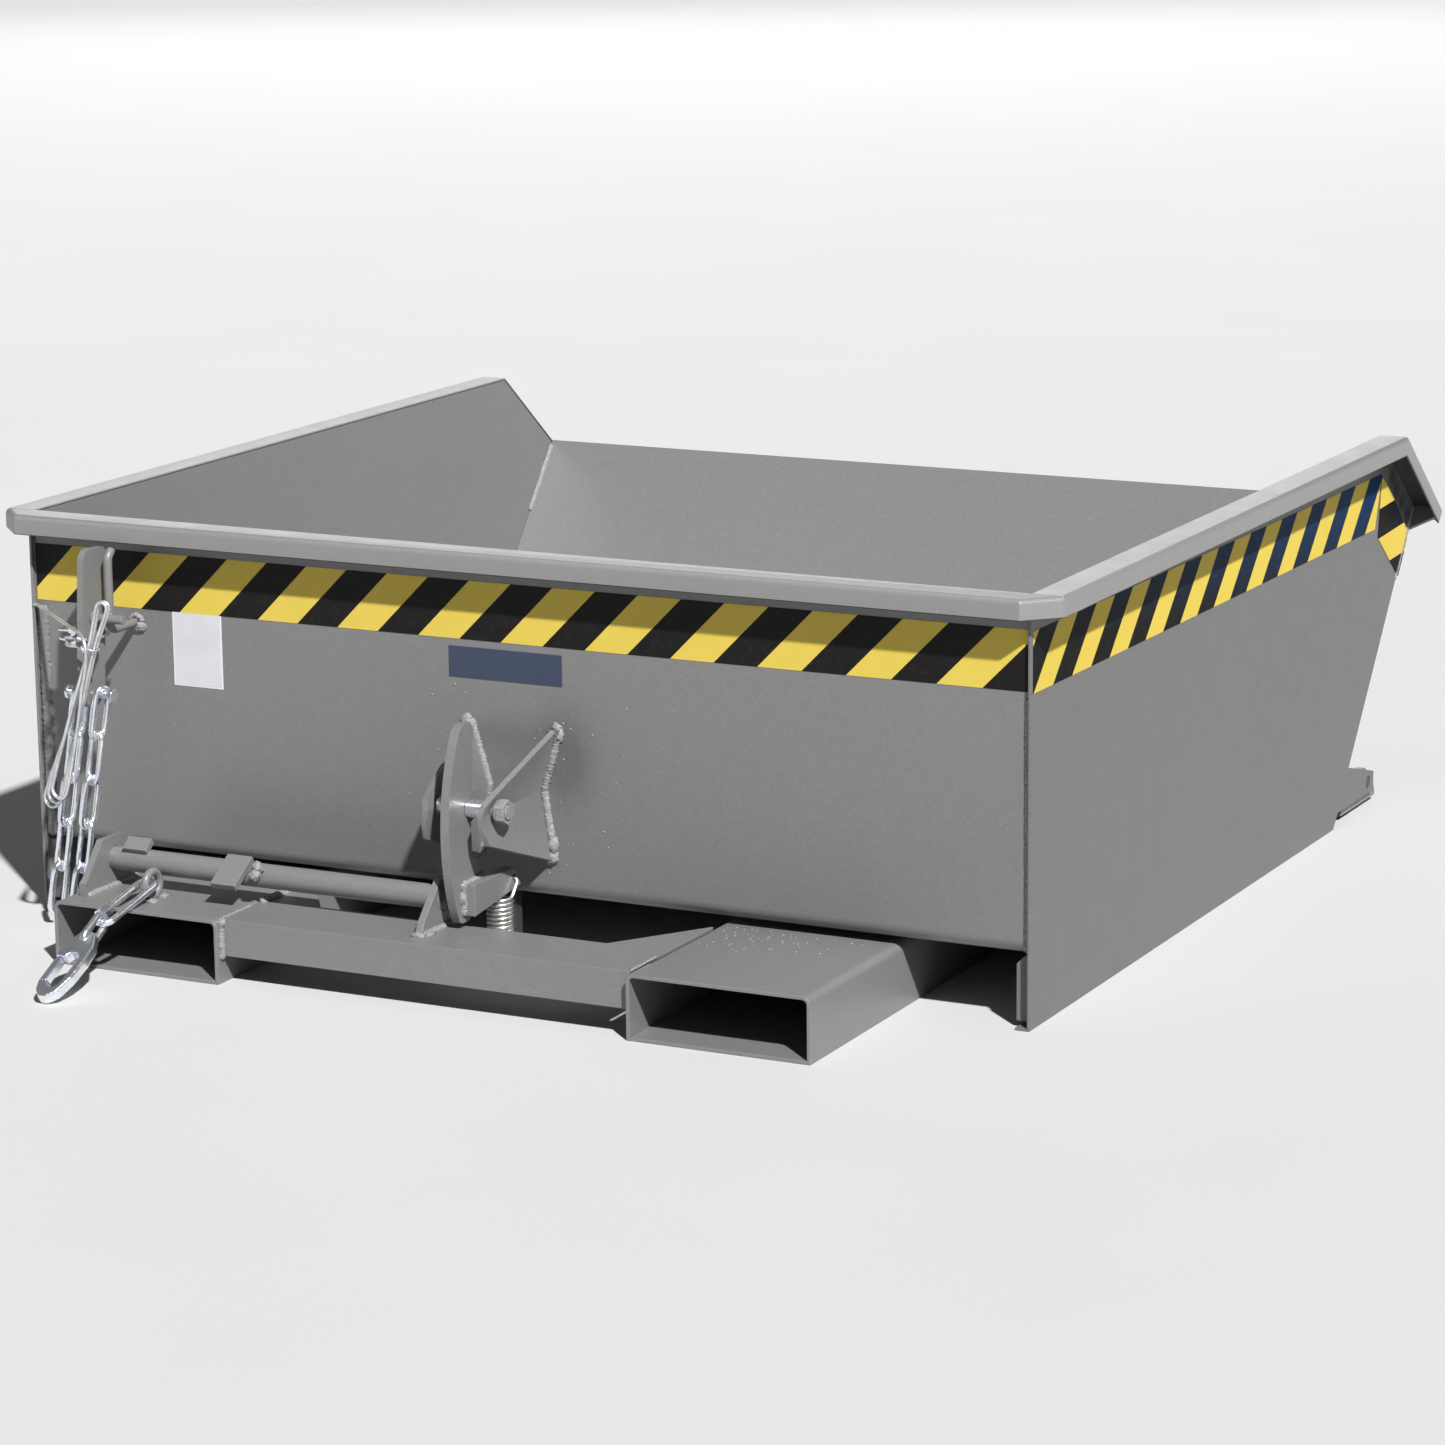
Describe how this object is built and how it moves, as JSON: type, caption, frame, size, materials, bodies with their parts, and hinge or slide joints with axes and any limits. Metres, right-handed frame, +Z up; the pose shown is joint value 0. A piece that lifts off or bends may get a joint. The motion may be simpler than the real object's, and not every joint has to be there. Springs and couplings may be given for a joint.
{
  "type": "forklift tipping skip",
  "caption": "Low open-top steel skip on a base frame with two fork pockets, tipping over a hinge at its pouring end, with latch, rope lever, safety chain and snap hook.",
  "frame": {"origin": "on the ground, below the middle of the whole object's bounding box", "axes": "+X to the right as seen from the forklift, +Y from the forklift towards the pouring lip, +Z up"},
  "size_m": [1.268, 1.5408, 0.45],
  "materials": {
    "paint": "satin grey enamel",
    "zinc": "bright zinc plate",
    "spring": "bare spring wire",
    "rope": "galvanised wire rope"
  },
  "bodies": {
    "base_frame": {"front_cross_member": "paint", "rear_beam": "paint", "fork_pocket_left": "paint", "fork_pocket_right": "paint", "pocket_floor_left": "paint", "pocket_floor_right": "paint", "hinge_bracket_left": "paint", "hinge_bracket_right": "paint", "hinge_pin_left": "zinc", "hinge_pin_right": "zinc", "shaft_bracket": "paint", "shaft_lug": "paint", "chain_eye": "paint"},
    "tub": {"trough_sheet": "paint", "side_plate_left": "paint", "side_plate_right": "paint", "rim_left": "paint", "rim_right": "paint", "rim_front": "paint", "floor_runner_left": "paint", "floor_runner_right": "paint", "pour_lip_bar": "paint", "latch_ear_left": "paint", "latch_ear_right": "paint", "latch_spacer_left": "paint", "latch_spacer_right": "paint", "latch_pin": "paint", "latch_washer": "paint", "latch_nut": "paint", "spring_anchor": "paint", "latch_spring": "spring", "lever_bar": "paint", "lever_rod": "paint", "pull_rope_lead": "rope", "pull_rope_hank": "rope", "pull_rope_tail": "rope", "hank_tie": "rope"},
    "latch": {"latch_plate": "paint", "latch_tooth": "paint"},
    "release_lever": {"release_lever": "paint", "chain_pin": "zinc", "pull_rope_eye": "rope", "rope_clip_bolt": "zinc", "rope_clip_saddle": "zinc"},
    "chain": {"chain_left_1": "zinc", "chain_left_2": "zinc", "chain_left_3": "zinc", "chain_left_4": "zinc", "chain_right_1": "zinc", "chain_right_2": "zinc", "chain_right_3": "zinc", "chain_right_4": "zinc", "chain_left_end_hook": "zinc", "chain_right_end_hook": "zinc"},
    "interlock_shaft": {"interlock_shaft": "paint"},
    "quick_link": {"quick_link": "zinc", "quick_link_nut": "zinc"},
    "snap_hook": {"snap_hook": "zinc"},
    "hook_gate": {"hook_gate": "zinc"}
  },
  "joints": [
    {"name": "tub_tip", "type": "hinge", "parent": "base_frame", "child": "tub", "pos_m": [0, 0.60945, 0.031], "axis": [-1, 0, 0], "range_deg": [0, 60]},
    {"name": "latch_swing", "type": "hinge", "parent": "tub", "child": "latch", "pos_m": [0.005, -0.53155, 0.196], "axis": [1, 0, 0], "range_deg": [0, 9], "stiffness_Nm_per_rad": 4, "springref_deg": -17.19, "deforming": ["latch_spring"]},
    {"name": "release_lever_turn", "type": "hinge", "parent": "tub", "child": "release_lever", "pos_m": [-0.482, -0.48885, 0.35], "axis": [1, 0, 0], "range_deg": [0, 18]},
    {"name": "chain_swing", "type": "hinge", "parent": "release_lever", "child": "chain", "pos_m": [-0.482, -0.49471, 0.2662], "axis": [1, 0, 0], "range_deg": [-18, 0]},
    {"name": "shaft_turn", "type": "hinge", "parent": "base_frame", "child": "interlock_shaft", "pos_m": [-0.22, -0.54455, 0.1], "axis": [-1, 0, 0], "range_deg": [0, 45]},
    {"name": "quick_link_swing", "type": "hinge", "parent": "base_frame", "child": "quick_link", "pos_m": [-0.357, -0.59055, 0.085], "axis": [-1, 0, 0], "range_deg": [0, 35]},
    {"name": "hook_swing", "type": "hinge", "parent": "quick_link", "child": "snap_hook", "pos_m": [-0.36242, -0.66762, 0.06422], "axis": [-0.9981, 0.0611, 0], "range_deg": [-45, 30]},
    {"name": "hook_gate_swing", "type": "hinge", "parent": "snap_hook", "child": "hook_gate", "pos_m": [-0.37966, -0.7202, 0.03282], "axis": [-0.0309, -0.5051, 0.8625], "range_deg": [0, 22], "stiffness_Nm_per_rad": 0.05, "springref_deg": -17.19}
  ],
  "couplings": [
    {"joint": "chain_swing", "follows": "release_lever_turn", "ratio": -1}
  ]
}
